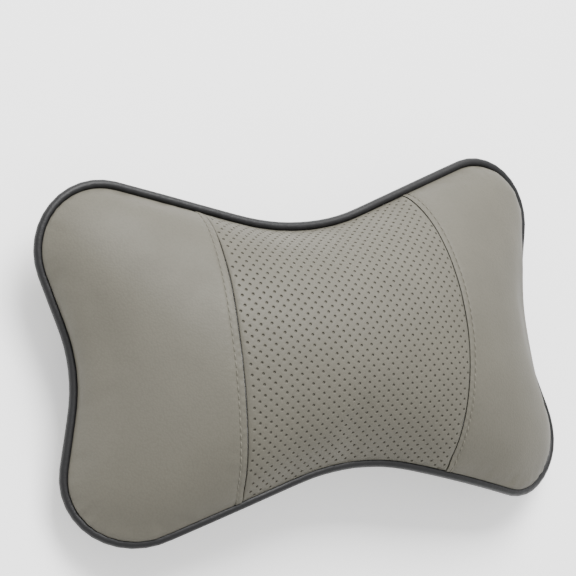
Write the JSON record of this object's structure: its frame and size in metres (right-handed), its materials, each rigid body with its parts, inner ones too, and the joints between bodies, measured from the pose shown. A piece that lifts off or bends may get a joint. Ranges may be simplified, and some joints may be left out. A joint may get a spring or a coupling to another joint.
{
  "type": "car neck pillow",
  "caption": "Bone-shaped neck pillow for a car seat, with a perforated middle panel, smooth sides, dark piping and an elastic band across its back.",
  "frame": {"origin": "centre of the bounding box's bottom, on the surface that the pillow lies on", "axes": "+X to the right of the face as it is looked at, +Y to the pillow's top edge, +Z out of the face"},
  "size_m": [0.2873, 0.1792, 0.0817],
  "materials": {
    "grey_leather": "satin synthetic leather, warm grey",
    "dark_leather": "satin synthetic leather, charcoal",
    "wadding": "loose white polyester fibre",
    "black_elastic": "woven elastic webbing"
  },
  "bodies": {
    "root": {"filling": "wadding", "left_face_panel": "grey_leather", "middle_face_panel": "grey_leather", "right_face_panel": "grey_leather", "back_panel": "grey_leather", "piping": "dark_leather", "headrest_band": "black_elastic"}
  },
  "joints": []
}
